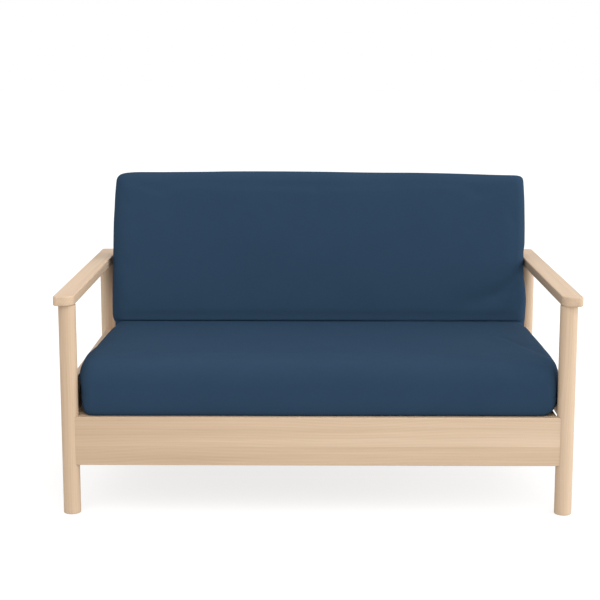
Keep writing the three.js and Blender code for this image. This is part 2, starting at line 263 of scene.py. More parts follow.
def copied(tree, points, instance):
    """One real copy of the instance on each point."""
    copies = add_node(tree, "GeometryNodeInstanceOnPoints",
                      {"Points": points, "Instance": instance})
    return add_node(tree, "GeometryNodeRealizeInstances", {0: copies.outputs[0]}).outputs[0]


def planed_boards_tree():
    """Turns each point into a board of its own half size, with all its edges rounded."""
    tree, given, result = new_tree(
        "planed_boards", "GeometryNodeTree",
        {"Geometry": "Geometry", "Edge Radius": "Float", "Lean": "Float", "Foot": "Vector",
         "Lowest": "Float", "Seed": "Int", "Material": "Material"},
        {"Boards": "Geometry"})

    def keep(geometry, name, value, kind="FLOAT_VECTOR"):
        node = add_node(tree, "GeometryNodeStoreNamedAttribute",
                        {"Geometry": geometry, "Name": name, "Value": value}, data_type=kind)
        return node.outputs["Geometry"]

    def kept(name):
        return add_node(tree, "GeometryNodeInputNamedAttribute", {"Name": name},
                        data_type="FLOAT_VECTOR").outputs["Attribute"]

    def random_per_board(kind, low, high):
        node = add_node(tree, "FunctionNodeRandomValue", data_type=kind)
        sockets = {socket.name: socket for socket in node.inputs if socket.enabled}
        sockets["Min"].default_value = low
        sockets["Max"].default_value = high
        tree.links.new(given["Seed"], sockets["Seed"])
        return next(socket for socket in node.outputs if socket.enabled)

    at = add_node(tree, "GeometryNodeInputPosition").outputs[0]
    levels = 2 * ROUND_STEPS + 2
    cube = add_node(tree, "GeometryNodeMeshCube", {
        "Size": (2, 2, 2), "Vertices X": levels, "Vertices Y": levels, "Vertices Z": levels,
    })
    unit = keep(cube.outputs["Mesh"], "unit_place", at)
    points = keep(given["Geometry"], "centre", at)
    points = keep(points, "chance", random_per_board("FLOAT_VECTOR", (-4, -4, -4), (4, 4, 4)))
    points = keep(points, "board_tone", random_per_board("FLOAT", -0.2, 0.2), "FLOAT")
    boards = copied(tree, points, unit)

    # the cube's levels gather at the edges, and a point near an edge moves onto its round
    place = kept("unit_place")
    side = vector_node(tree, "SIGN", place)
    quarter = math.pi / 4
    gather = vector_node(tree, "MULTIPLY", vector_node(tree, "ABSOLUTE", place),
                         (quarter * (levels - 1) / (2 * ROUND_STEPS),) * 3)
    gather = vector_node(tree, "SUBTRACT", gather, (quarter / (2 * ROUND_STEPS),) * 3)
    radius = vector_from(tree, *[given["Edge Radius"]] * 3)
    inner = vector_node(tree, "SUBTRACT", kept("half_size"), radius)
    beyond = vector_node(tree, "MULTIPLY", vector_node(tree, "TANGENT", gather), radius)
    box = vector_node(tree, "MULTIPLY", side, vector_node(tree, "ADD", inner, beyond))
    core = vector_node(tree, "MULTIPLY", side,
                       vector_node(tree, "MINIMUM", inner, vector_node(tree, "ABSOLUTE", box)))
    on_surface = vector_node(tree, "NORMALIZE", vector_node(tree, "SUBTRACT", box, core))
    local = vector_node(tree, "ADD", core, vector_node(tree, "MULTIPLY", on_surface, radius))

    third = vector_node(tree, "CROSS_PRODUCT", kept("along"), kept("across"))
    grain = vector_from(tree, *[vector_node(tree, "DOT_PRODUCT", local, axis)
                                for axis in (kept("along"), kept("across"), third)])
    boards = keep(boards, "grain_at", vector_node(tree, "ADD", grain, kept("chance")))
    boards = changed(tree, boards, "SetPosition", "Position",
                     vector_node(tree, "ADD", kept("centre"), local))

    # only the rounds are shaded smooth, so the flats stay flat
    facing = add_node(tree, "GeometryNodeInputNormal").outputs[0]
    facing = split(tree, vector_node(tree, "ABSOLUTE", facing))
    most = math_node(tree, "MAXIMUM", math_node(tree, "MAXIMUM", facing[0], facing[1]), facing[2])
    boards = changed(tree, boards, "SetShadeSmooth", "Shade Smooth",
                     math_node(tree, "LESS_THAN", most, 0.9999))

    # then the boards lean back about their foot, and what would stand too low is sawn level
    leaning = add_node(tree, "ShaderNodeVectorRotate", {
        "Vector": at, "Center": given["Foot"],
        "Angle": math_node(tree, "MULTIPLY", given["Lean"], -1),
    }, rotation_type="X_AXIS").outputs[0]
    boards = changed(tree, boards, "SetPosition", "Position", leaning)
    lack = math_node(tree, "MAXIMUM",
                     math_node(tree, "SUBTRACT", given["Lowest"], split(tree, at)[2]), 0.0)
    back = math_node(tree, "MULTIPLY", lack, math_node(tree, "TANGENT", given["Lean"]))
    boards = changed(tree, boards, "SetPosition", "Offset", vector_from(tree, y=back, z=lack))
    boards = changed(tree, boards, "SetMaterial", "Material", given["Material"])
    tree.links.new(boards, result["Boards"])
    return tree


planed_boards = planed_boards_tree()
X_AXIS, Y_AXIS, Z_AXIS = (1, 0, 0), (0, 1, 0), (0, 0, 1)


def make_boards(name, nodes, edge, seed, boxes=None, grain=X_AXIS, wide=Z_AXIS,
                material=planed_wood, lean=0.0, foot=(0, 0, 0)):
    """One piece of boards, each in its own box, with the grain along one axis of the boxes."""
    boxes = boxes or [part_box(node) for node in nodes]
    maker = empty_maker(name, [(low + high) / 2 for low, high in boxes], {
        "half_size": [tuple((high - low) / 2) for low, high in boxes],
        "along": [grain] * len(boxes),
        "across": [wide] * len(boxes),
    })
    run_tree(maker, planed_boards, {
        "Edge Radius": edge, "Lean": lean, "Foot": foot, "Lowest": foot[2], "Seed": seed,
        "Material": material,
    })
    settled(maker, name, nodes)


SIDES = ("left", "right")
rails = ["front_rail", "back_rail"]
rail_low, rail_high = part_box("front_rail")
glue_line = rail_low.z + 56 * MM      # each rail is glued up from two widths
UPPER_WIDTH_FADE = 45 * MM            # the upper width is paler just above the glue line


def map_range(tree, value, *limits):
    """Carries a value over from one range to another: from, from, to, to."""
    keys = ("Value", "From Min", "From Max", "To Min", "To Max")
    return add_node(tree, "ShaderNodeMapRange", dict(zip(keys, (value, *limits)))).outputs[0]


def rail_material():
    """The rails' wood, with another figure on each side of the glue line, and painted light that
    makes it palest at the right end.
    """
    material = new_material("glued_rail_wood", lacquer)
    tree = material.node_tree
    at = split(tree, add_node(tree, "ShaderNodeTexCoord").outputs["Object"])
    above = math_node(tree, "SUBTRACT", at[2], glue_line)
    lower = math_node(tree, "LESS_THAN", above, 0.0)
    shift = vector_from(tree, *[math_node(tree, "MULTIPLY", lower, step) for step in (3.7, 1.9)])
    place = vector_node(tree, "ADD", attribute_node(tree, "grain_at", "Vector"), shift)
    near = map_range(tree, math_node(tree, "ABSOLUTE", above), 0.3 * MM, 0.9 * MM, 0.5, 0.0)
    fade = map_range(tree, above, 0.0, UPPER_WIDTH_FADE, -0.5, 0.05)
    upper_tone = math_node(tree, "MULTIPLY", fade, math_node(tree, "SUBTRACT", 1.0, lower))
    # painted light: the rails' wood is painted darker at the left end and palest at the right end,
    # where the light falls
    along = map_range(tree, at[0], rail_low.x, rail_high.x, 0.4, -0.75)
    finish_wood(material, place, total(
        tree, upper_tone, math_node(tree, "MULTIPLY", lower, 0.42), along, near))
    return material


make_boards("rails", rails, edge=2.5 * MM, seed=3, material=rail_material())

side_boards = [f"side_board_{side}" for side in SIDES]
make_boards("side_boards", side_boards, edge=2 * MM, seed=11, grain=Y_AXIS)

make_boards("deck_battens", ["deck_batten_front", "deck_batten_back"], edge=1.5 * MM, seed=5)

deck_slats = sorted(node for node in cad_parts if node.startswith("deck_slat_"))
make_boards("deck_slats", deck_slats, edge=2.5 * MM, seed=8, grain=Y_AXIS, wide=X_AXIS)

# ------------------------------------------------------------------ the posts
# Four round posts turned from one length of wood, the foot's edge eased so that it doesn't
# splinter. The posts are notched for the rails and side boards, which are glued and bolted in.

POST_SIDES = 96
POST_LEVELS = 26
posts = [f"{end}_post_{side}" for end in ("front", "back") for side in SIDES]


def turned_posts_tree():
    """Stands a round post on each point, its points drawn together towards the eased foot."""
    tree, given, result = new_tree(
        "turned_posts", "GeometryNodeTree",
        {"Geometry": "Geometry", "Radius": "Float", "Height": "Float", "Foot Ease": "Float",
         "Material": "Material"},
        {"Posts": "Geometry"})
    line = add_node(tree, "GeometryNodeCurvePrimitiveLine", {"Start": (0, 0, 0), "End": Z_AXIS})
    line = changed(tree, line.outputs[0], "ResampleCurve", "Count", POST_LEVELS)
    height = split(tree, add_node(tree, "GeometryNodeInputPosition").outputs[0])[2]
    drawn = math_node(tree, "MULTIPLY", math_node(tree, "POWER", height, 3.0), given["Height"])
    line = changed(tree, line, "SetPosition", "Position", vector_from(tree, z=drawn))
    short = math_node(tree, "SUBTRACT", 1.0, math_node(tree, "DIVIDE", height, given["Foot Ease"]))
    short = math_node(tree, "MAXIMUM", short, 0.0)
    rounding = math_node(tree, "SQRT", math_node(
        tree, "SUBTRACT", 1.0, math_node(tree, "MULTIPLY", short, short)))
    lost = math_node(tree, "MULTIPLY", math_node(tree, "SUBTRACT", 1.0, rounding),
                     given["Foot Ease"])
    line = changed(tree, line, "SetCurveRadius", "Radius",
                   math_node(tree, "SUBTRACT", given["Radius"], lost))
    circle = add_node(tree, "GeometryNodeCurvePrimitiveCircle",
                      {"Resolution": POST_SIDES, "Radius": 1.0})
    tube = add_node(tree, "GeometryNodeCurveToMesh", {
        "Curve": line, "Profile Curve": circle.outputs[0], "Fill Caps": True,
        "Scale": add_node(tree, "GeometryNodeInputRadius").outputs[0],
    })
    made = copied(tree, given["Geometry"], tube.outputs[0])
    made = changed(tree, made, "SetMaterial", "Material", given["Material"])
    tree.links.new(made, result["Posts"])
    return tree


def mesh_of_shape(shape, name):
    mesh = bpy.data.meshes.new(name)
    shape.to_mesh(mesh)
    shape.free()
    return mesh


def notches(clearance):
    """Blocks in the shape of the boards' ends, a little larger, to cut the posts with."""
    shape = bmesh.new()
    for node in rails + side_boards:
        low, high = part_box(node)
        size = high - low + Vector((2 * clearance,) * 3)
        made = bmesh.ops.create_cube(shape, size=1)
        bmesh.ops.scale(shape, vec=size, verts=made["verts"])
        bmesh.ops.translate(shape, vec=(low + high) / 2, verts=made["verts"])
    return new_object("notches", mesh_of_shape(shape, "notches"))


post_boxes = [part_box(node) for node in posts]
post_feet = [Vector(((low.x + high.x) / 2, (low.y + high.y) / 2, low.z))
             for low, high in post_boxes]
post_low, post_high = post_boxes[0]
post_maker = empty_maker("posts", post_feet, {})
run_tree(post_maker, turned_posts_tree(), {
    "Radius": (post_high.x - post_low.x) / 2, "Height": post_high.z - post_low.z,
    "Foot Ease": 3 * MM, "Material": planed_wood,
})
cutter = notches(clearance=0.3 * MM)
notching = post_maker.modifiers.new("notching", "BOOLEAN")
notching.object = cutter
notching.solver = "EXACT"
post_piece = settled(post_maker, "posts", posts)
bpy.data.objects.remove(cutter)


def point_array(mesh, field="co", owner="vertices"):
    items = getattr(mesh, owner)
    values = np.empty(3 * len(items), np.float32)
    items.foreach_get(field, values)
    return values.reshape(-1, 3).astype(float)


def lay_grain(mesh, along, across, groups, seed, tone=0.0):
    """Stores where each point lies in its own length of wood, and that length's tone."""
    drawn = np.random.default_rng(seed)
    points = point_array(mesh)
    place = np.stack([points @ along, points @ across, points @ np.cross(along, across)], axis=1)
    group = groups(points)
    count = int(group.max()) + 1
    place += drawn.uniform(-4, 4, (count, 3))[group]
    tones = tone + drawn.uniform(-0.1, 0.1, count)[group]
    keep_on_points(mesh, "grain_at", place, "FLOAT_VECTOR", "vector")
    keep_on_points(mesh, "board_tone", tones)


def quarter_of_plan(points):
    middle = (points.min(0) + points.max(0)) / 2
    return (points[:, 0] > middle[0]).astype(int) + 2 * (points[:, 1] > middle[1]).astype(int)


SHARP_FROM = math.radians(35)
lay_grain(post_piece.data, Z_AXIS, X_AXIS, quarter_of_plan, seed=21, tone=-0.4)
post_piece.data.shade_smooth()
post_piece.data.set_sharp_from_angle(angle=SHARP_FROM)

# ------------------------------------------------------------------ the armrests
# Two flat boards laid on the posts and dowelled to them. Their front corners are sawn round,
# wider on the inside, and every edge is rounded over for the arms that lie on it.

ARM_EDGE = 4 * MM
ARM_EDGE_STEPS = 6
ARM_CORNER_STEPS = 14
arm_corners = {"inner front": 30 * MM, "outer front": 14 * MM, "back": 10 * MM}


def arm_outline(low, high, radii, inset):
    """The arm's plan, drawn in by the inset, with the corners round from low-low onwards."""
    middles = [(low.x, low.y, 1, 1), (high.x, low.y, -1, 1),
               (high.x, high.y, -1, -1), (low.x, high.y, 1, -1)]
    outline = []
    for number, ((x, y, inward_x, inward_y), radius) in enumerate(zip(middles, radii)):
        start = math.pi + number * math.pi / 2
        for step in range(ARM_CORNER_STEPS + 1):
            angle = start + step / ARM_CORNER_STEPS * math.pi / 2
            outline.append((x + inward_x * radius + (radius - inset) * math.cos(angle),
                            y + inward_y * radius + (radius - inset) * math.sin(angle)))
    return outline


def make_armrest(shape, side):
    low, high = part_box(f"armrest_{side}")
    front = [arm_corners["inner front"], arm_corners["outer front"]]
    if side == "left":
        front.reverse()
    radii = front + [arm_corners["back"]] * 2
    turns = [step / ARM_EDGE_STEPS * math.pi / 2 for step in range(ARM_EDGE_STEPS + 1)]
    lower = [(ARM_EDGE * (1 - math.sin(a)), low.z + ARM_EDGE * (1 - math.cos(a))) for a in turns]
    upper = [(inset, low.z + high.z - z) for inset, z in reversed(lower)]
    rings = [[shape.verts.new((x, y, z)) for x, y in arm_outline(low, high, radii, inset)]
             for inset, z in lower + upper]
    for below, above in zip(rings, rings[1:]):
        for k in range(len(below)):
            nxt = (k + 1) % len(below)
            shape.faces.new((below[k], below[nxt], above[nxt], above[k])).smooth = True
    shape.faces.new(reversed(rings[0]))
    shape.faces.new(rings[-1])


arm_shape = bmesh.new()
for side in SIDES:
    make_armrest(arm_shape, side)
arm_mesh = mesh_of_shape(arm_shape, "armrests")
arm_mesh.materials.append(planed_wood)
lay_grain(arm_mesh, Y_AXIS, X_AXIS, lambda points: (points[:, 0] > 0).astype(int), seed=34)
wooden_piece(arm_mesh, [f"armrest_{side}" for side in SIDES])

# ------------------------------------------------------------------ the backrest
# A leaning frame of two stiles and two rails, with seven thin slats let into the rails. It
# stands on the deck behind the mattress, and its foot is sawn level.

LEAN = math.radians(16.2)
backrest_rail_height = 70 * MM
stile_low, stile_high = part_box("backrest_stile_left")
backrest_foot = Vector((0, stile_low.y, stile_low.z))
stile_length = (stile_high.z - stile_low.z) / math.cos(LEAN)
stile_thickness = (stile_high.y - stile_low.y - stile_length * math.sin(LEAN)) / math.cos(LEAN)
backrest_slat_thickness = 14 * MM


def upright_box(node, start, end, thickness):
    """The box of a backrest piece before it leans: from start to end up the stile."""
    low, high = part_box(node)
    front = backrest_foot.y + (stile_thickness - thickness) / 2
    return (Vector((low.x, front, backrest_foot.z + start)),
            Vector((high.x, front + thickness, backrest_foot.z + end)))


leaning = {"edge": 2.5 * MM, "lean": LEAN, "foot": tuple(backrest_foot)}
upright = {"grain": Z_AXIS, "wide": X_AXIS}
stiles = [f"backrest_stile_{side}" for side in SIDES]
make_boards("backrest_stiles", stiles, seed=41, boxes=[
    upright_box(node, 0, stile_length, stile_thickness) for node in stiles
], **upright, **leaning)
below_top_rail = stile_length - backrest_rail_height
make_boards("backrest_rails", ["backrest_rail_bottom", "backrest_rail_top"], seed=43, boxes=[
    upright_box("backrest_rail_bottom", 0, backrest_rail_height, stile_thickness),
    upright_box("backrest_rail_top", below_top_rail, stile_length, stile_thickness),
], **leaning)
backrest_slats = sorted(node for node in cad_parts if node.startswith("backrest_slat_"))
slat_gap = 0.3 * MM
make_boards("backrest_slats", backrest_slats, seed=47, boxes=[
    upright_box(node, backrest_rail_height + slat_gap, below_top_rail - slat_gap,
                backrest_slat_thickness) for node in backrest_slats
], **upright, **leaning)

# ------------------------------------------------------------------ the futon cover
# A fitted cover of navy cotton twill, drawn tight over a mattress that is folded once into a
# seat and a back. It is sewn along its sides only, and its front and top edges are plain bends.
# It is laid out in rings round the mattress, filled by the cloth solver, then creased.

out = np.array([0, -math.cos(LEAN), math.sin(LEAN)])     # out of the back's face
up = np.array([0, math.sin(LEAN), math.cos(LEAN)])       # along the back

# millimetres, from the cover's front face and from the deck that it lies on. A "square" says how
# square an edge is rounded: 2 is an ellipse, and more is squarer.
seat = {"depth": 633, "height": 161.2, "nose": 95, "nose square": 3.1, "hem": 13,
        "foremost": 66, "corner": 30, "crown": 5}
back = {"length": 510, "depth": 145, "swell": 4, "rise": 8, "nose": 60, "rear square": 3.4,
        "front square": 2.9, "crown": 5, "left corner": 26, "right corner": 18}
crease = {"lip": 2.4, "depths": [(-690, 1), (-500, 1.6), (0, 1.6), (420, 0.8), (690, 0)]}
cover_front = rail_low.y + 3 * MM
cover_bottom = rail_high.z + 0.3 * MM

# how far the cover reaches to each side: along the seat from its front edge, to the left and
# to the right, and up the back from the crease, with the armrest's pinch on the right
seat_widths = [
    (0, 685, 688), (18, 686, 688.5), (62, 694, 702), (160, 698.5, 702.5), (280, 688.5, 700.5),
    (530, 681, 697), (631.5, 672, 690.5),
]
back_widths = [
    (0, 672, 690.5), (16, 681.5, 693), (80, 683, 697), (125, 683, 692.5), (158, 683, 689.2),
    (234, 683, 689.2), (262, 683.5, 694), (330, 683.5, 695.5), (410, 680.5, 696),
    (510, 675, 694),
]
# how far the top edge stands below its highest point
top_drop = [(-690, 8), (-600, 2.5), (-300, 0), (0, 0.8), (300, 3.8), (690, 12.5)]
# the rounded sides: how far each reaches in above and below its widest line, that line's
# share of the height, and how far the side board holds the cloth in
side_round = {
    "left": {"upper": 44, "lower": 26, "widest": 0.47, "held": 4.5},
    "right": {"upper": 38, "lower": 60, "widest": 0.4, "held": 0},
}
UPPER_SQUARE, LOWER_SQUARE = 2.7, 3.1
HEEL_SQUARE = 5                           # of the folded mattress's heel, behind the crease
FULLNESS = 0.7                            # how soon the crown rises to its full height
board_top = (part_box("side_board_left")[1].z - cover_bottom) / MM
BOARD_HOLD_ABOVE, BOARD_HOLD_FADE = 8, 22     # where the board's hold begins, over its top
TOP_DROP_FROM = 250                       # up the back, where its top edge's drop begins


def smooth(part):
    part = np.clip(part, 0, 1)
    return part * part * (3 - 2 * part)


def look_up(rows, column, at):
    """A smooth value from a table's column, between the rows round `at`."""
    keys = np.array([row[0] for row in rows], float)
    values = np.array([row[column] for row in rows], float)
    place = np.clip(np.searchsorted(keys, at) - 1, 0, len(keys) - 2)
    part = np.clip((at - keys[place]) / (keys[place + 1] - keys[place]), 0, 1)
    part = (part + smooth(part)) / 2
    return values[place] + (values[place + 1] - values[place]) * part


def rounding(part, square):
    """The height of a rounded edge, as a share of its full height."""
    return (1 - (1 - np.clip(part, 0, 1)) ** square) ** (1 / square)


def seat_station(at):
    """One section across the seat, `at` behind the cover's front face."""
    inset = seat["corner"] * (1 - rounding(at / seat["corner"], 2))
    rest = seat["height"] - seat["foremost"]
    return {
        "base": np.array([0, at, 0]), "way": np.array([0, 0, 1]),
        "low": seat["foremost"] * (1 - rounding(at / seat["hem"], 2)),
        "high": seat["foremost"] + rest * rounding(at / seat["nose"], seat["nose square"]),
        "left": look_up(seat_widths, 1, at) - inset,
        "right": look_up(seat_widths, 2, at) - inset,
        "crown": seat["crown"] * math.sin(math.pi * min(1, at / seat["depth"])) ** FULLNESS,
        "held": 1, "along": at - seat["depth"],
    }


def fold_station(part):
    """A section through the crease, turned from the seat's end to the back's foot."""
    whole = math.pi / 2 - LEAN
    turn = part * whole
    away = np.array([0, math.sin(turn), -math.cos(turn)])
    to_deck = math.cos(turn) / seat["height"]
    to_backrest = math.cos(whole - turn) / back["depth"]
    reach = (to_deck ** HEEL_SQUARE + to_backrest ** HEEL_SQUARE) ** (-1 / HEEL_SQUARE)
    return {
        "base": crease_line + away * reach, "way": -away, "low": 0, "high": reach,
        "creased": math.sin(math.pi * part) ** 0.8,
        "left": back_widths[0][1], "right": back_widths[0][2], "crown": 0,
        "held": 1, "along": 0,
    }


def back_station(along):
    """One section across the back, `along` its length from the crease."""
    left = back["length"] - along
    full = back["depth"] + back["swell"] * rounding(along / back["rise"], 2)
    middle = full / 2
    inset = {side: back[f"{side} corner"] * (1 - rounding(left / back[f"{side} corner"], 2))
             for side in SIDES}
    return {
        "base": crease_line - out * back["depth"] + up * along, "way": out,
        "low": middle * (1 - rounding(left / back["nose"], back["rear square"])),
        "high": middle + (full - middle) * rounding(left / back["nose"], back["front square"]),
        "left": look_up(back_widths, 1, along) - inset["left"],
        "right": look_up(back_widths, 2, along) - inset["right"],
        "crown": back["crown"] * math.sin(math.pi * along / back["length"]) ** FULLNESS,
        "held": 0, "along": along,
    }


def bend(steps, first, square):
    """Shares of a rounded edge's reach, evenly spaced round the bend."""
    turns = np.linspace(first, math.pi / 2, steps)
    return 1 - np.cos(turns) ** (2 / square)


# the rings stand close together round the nose, at the crease and round the top edge
NOSE_RINGS, SEAT_RINGS, FOLD_RINGS, RISE_RINGS, BACK_RINGS = 15, 42, 9, 9, 36
before_crease = (15, 8, 4, crease["lip"])
crease_line = np.array([0, seat["depth"], seat["height"]])
nose_parts = bend(NOSE_RINGS, 0.12, 3)
seat_run = np.linspace(seat["nose"], seat["depth"] - 24, SEAT_RINGS)[1:]
seat_end = [seat["depth"] - distance for distance in before_crease]
back_run = np.linspace(back["rise"], back["length"] - back["nose"], BACK_RINGS)[1:-1]
stations = [seat_station(at) for at in nose_parts * seat["nose"]]
stations += [seat_station(at) for at in [*seat_run, *seat_end]]
stations += [fold_station(part) for part in np.linspace(0, 1, FOLD_RINGS)[1:-1]]
stations += [back_station(at) for at in back["rise"] * bend(RISE_RINGS, 0.3, 2)]
stations += [back_station(at) for at in back_run]
stations += [back_station(back["length"] - at) for at in nose_parts[::-1] * back["nose"]]

# the turns round each rounded side, close together at the seam along its widest line
side_turns = np.concatenate([[0, 0.012, 0.035], np.linspace(0.1, math.pi / 2, 8)])
FLAT_STEPS = 76


def side_curve(station, side, upper):
    """The rounded side from its widest line, up to the cover's face or down to its underside."""
    shape = side_round[side]
    low, high, sign = station["low"], station["high"], {"left": -1, "right": 1}[side]
    middle = low + shape["widest"] * (high - low)
    square = UPPER_SQUARE if upper else LOWER_SQUARE
    height = (high if upper else low) - middle
    level = middle + height * np.sin(side_turns) ** (2 / square)
    across = shape["upper" if upper else "lower"] * (
        1 - np.cos(side_turns).clip(0) ** (2 / square))
    below_board = smooth((board_top + BOARD_HOLD_ABOVE - level) / BOARD_HOLD_FADE)
    held = station["held"] * shape["held"] * below_board
    return np.stack([sign * (station[side] - across - held), level], axis=1)


def flat_run(start, end, bulge):
    """The points between two rounded sides, on an arch as high as the bulge."""
    parts = np.linspace(0, 1, FLAT_STEPS + 1)[1:-1, None]
    arch = np.array([[0, bulge]]) * (1 - (2 * parts - 1) ** 2)
    return start + (end - start) * parts + arch


def ring(station):
    """The points round one section: over the top from right to left, and back under it."""
    top_right, top_left = (side_curve(station, side, True) for side in ("right", "left"))
    low_left, low_right = (side_curve(station, side, False) for side in ("left", "right"))
    return np.concatenate([
        top_right, flat_run(top_right[-1], top_left[-1], station["crown"]), top_left[::-1],
        low_left[1:], flat_run(low_left[-1], low_right[-1], 0), low_right[::-1][:-1],
    ])


def cover_grid():
    """Every point of the cover, in metres, as stations by points round each one."""
    layers = []
    for station in stations:
        section = ring(station)
        fades = smooth((station["along"] - TOP_DROP_FROM) / (back["length"] - TOP_DROP_FROM))
        drop = fades * look_up(top_drop, 1, section[:, 0])
        sinks = station.get("creased", 0) * look_up(crease["depths"], 1, section[:, 0])
        section[:, 1] -= sinks * (section[:, 1] > station["high"] / 2)
        layers.append(station["base"] + section[:, :1] * np.array([1, 0, 0])
                      + section[:, 1:] * station["way"] - drop[:, None] * up)
    return np.array(layers) * MM + np.array([0, cover_front, cover_bottom])


def cloth_layout(grid):
    """Every face's points, and where each of them lies in the cloth that the cover is cut from.

    One width of cloth lies over the mattress and one under it, and they meet in the side seams.
    """
    rows, count = grid.shape[:2]
    half = count // 2

    def run(points):
        steps = np.linalg.norm(np.diff(points, axis=0), axis=1)
        return np.concatenate([[0], np.cumsum(steps)])

    around = np.array([run([*section, section[0]]) for section in grid])
    top, bottom = half // 2, half + half // 2
    front_edge, top_edge = (np.linalg.norm(grid[row, top] - grid[row, bottom]) for row in (0, -1))
    across = {"over": around[:, top, None] - around, "under": around - around[:, bottom, None]}
    along = {"over": run(grid[:, top]), "under": -front_edge - run(grid[:, bottom])}

    def corner(row, k, width, beyond=0.0):
        return row * count + k % count, (across[width][row, k], along[width][row] + beyond)

    faces = []
    for row in range(rows - 1):
        for k in range(count):
            width = "over" if k < half else "under"
            faces.append([corner(row + i, k + j, width)
                          for i, j in ((0, 0), (1, 0), (1, 1), (0, 1))])
    round_top = along["over"][-1] + top_edge - along["under"][-1]
    for row, beyond in ((0, 0.0), (rows - 1, round_top)):
        for k in range(half):
            face = [corner(row, k, "over"), corner(row, k + 1, "over"),
                    corner(row, count - k - 1, "under", beyond),
                    corner(row, count - k, "under", beyond)]
            face = [c for i, c in enumerate(face) if c[0] != face[i - 1][0]]
            faces.append(face if row == 0 else face[::-1])
    from_seam = np.abs(around - around[:, half, None])
    from_seam = np.minimum(from_seam, np.minimum(around, around[:, -1:] - around))[:, :-1]
    return faces, from_seam, np.broadcast_to(along["over"][:, None], (rows, count))


grid = cover_grid()
faces, from_seam, cloth_run = cloth_layout(grid)
cover_mesh = new_mesh("futon_cover_cloth", grid.reshape(-1, 3),
                      [[c[0] for c in face] for face in faces])
cloth_places = np.array([c[1] for face in faces for c in face], np.float32)
cover_mesh.uv_layers.new(name="cloth").data.foreach_set("uv", cloth_places.ravel())
keep_on_points(cover_mesh, "from_seam", from_seam)
keep_on_points(cover_mesh, "cloth_run", cloth_run)
cover_mesh.shade_smooth()
cover = new_object("futon_cover_cloth", cover_mesh)


def soft_limit(values, least, most):
    """Keeps values between the two limits, and bends towards them without a corner."""
    return np.where(values > 0, most * np.tanh(values / most), least * np.tanh(values / least))


def fill_cover(cover, held, slack, least, most):
    """Lets the filling press the cloth out from a slightly smaller shape.

    The frame and the mattress's firm edges hold it between `least` and `most` of its full shape.
    """
    mesh = cover.data
    full = point_array(mesh)
    outward = point_array(mesh, "vector", "vertex_normals")
    mesh.vertices.foreach_set("co", (full - slack * outward).ravel())
    group = cover.vertex_groups.new(name="held")
    for strength in np.unique(held):
        group.add(np.nonzero(held == strength)[0].tolist(), float(strength), "REPLACE")
    filling = cover.modifiers.new("filling", "CLOTH")
    settings = filling.settings
    settings.quality = 6
    settings.tension_stiffness = settings.compression_stiffness = 30
    settings.bending_stiffness = 4
    settings.vertex_group_mass = "held"
    settings.use_pressure = True
    settings.uniform_pressure_force = 4
    settings.effector_weights.gravity = 0
    filling.collision_settings.use_collision = False
    filling.point_cache.frame_start = 1
    filling.point_cache.frame_end = 20
    for frame_number in range(1, 21):
        bpy.context.scene.frame_set(frame_number)
    moved = point_array(evaluated(cover).data) - full
    cover.modifiers.remove(filling)
    cover.vertex_groups.remove(group)
    bpy.context.scene.frame_set(1)
    along_normal = (moved * outward).sum(1, keepdims=True)
    sideways = moved - along_normal * outward
    length = np.linalg.norm(sideways, axis=1, keepdims=True)
    moved = (soft_limit(along_normal, least, most) * outward
             + sideways * most / (most + length) * np.abs(outward[:, 1:2]))
    mesh.vertices.foreach_set("co", (full + moved).ravel())


# the underside and the rear face lie on the frame, and the crease is held by the fold
CREASE_HOLD, CREASE_HOLD_REACH = 0.8, 30
UNDERSIDE_FROM = 0.56                     # of half the way round, where the seam is at 0.5
from_top_middle = np.abs(np.linspace(0, 2, grid.shape[1], endpoint=False) - 0.5)
under = from_top_middle > UNDERSIDE_FROM
near_crease = np.array([abs(station["along"]) < CREASE_HOLD_REACH for station in stations])
held = np.where(under, 1.0, 0.0)[None, :] + np.where(near_crease, CREASE_HOLD, 0.0)[:, None]
held = np.clip(held, 0, 1).ravel()
fill_cover(cover, held, slack=3 * MM, least=-0.8 * MM, most=2.5 * MM)

# one level of subdivision, then the creases, all in millimetres
smoothing = cover.modifiers.new("smoothing", "SUBSURF")
smoothing.levels = smoothing.render_levels = 1
finer = bpy.data.meshes.new_from_object(evaluated(cover))
cover.modifiers.remove(smoothing)
cover.data = finer
bpy.data.meshes.remove(cover_mesh)
finer.name = "futon_cover_cloth"

points = point_array(finer)
outward = point_array(finer, "vector", "vertex_normals")
side_to_side = points[:, 0] / MM
crease_at = crease_line * MM + np.array([0, cover_front, cover_bottom])
rise = (points - crease_at) @ up / MM                    # up the back from the crease
behind_front = (points[:, 1] - cover_front) / MM
PAST_CREASE = 3
# 1 on the back's face and on the seat's top, falling to 0 round their edges
on_back = smooth(((points - crease_at) @ out / MM + 45) / 40) * (rise > PAST_CREASE)
on_seat = smooth((outward[:, 2] - 0.5) / 0.3) * (rise < PAST_CREASE)


def point_values(mesh, name):
    values = np.empty(len(mesh.vertices), np.float32)
    mesh.attributes[name].data.foreach_get("value", values)
    return values.astype(float)


def trough(path, across, along, ridge):
    """A soft fold along a path of (across, along, depth, width), with a ridge beside it."""
    ends = sorted((path[0][0], path[-1][0]))
    inside = (across > ends[0]) & (across < ends[1])
    path = sorted(path)
    middle, depth, width = (look_up(path, column, across) for column in (1, 2, 3))
    offset = (along - middle) / width
    return inside * depth * (np.exp(-offset ** 2) - ridge * np.exp(-(offset + 1.9) ** 2))


# the armrest on the right presses into the back, and a fold runs from it down to the crease
arm_fold = [(400, 44, 0, 34), (455, 54, 1.5, 32), (526, 69, 4.5, 27), (591, 89, 8, 24),
            (630, 115, 10.5, 24), (661, 147, 12, 26), (685, 170, 12, 28), (700, 182, 12, 30)]
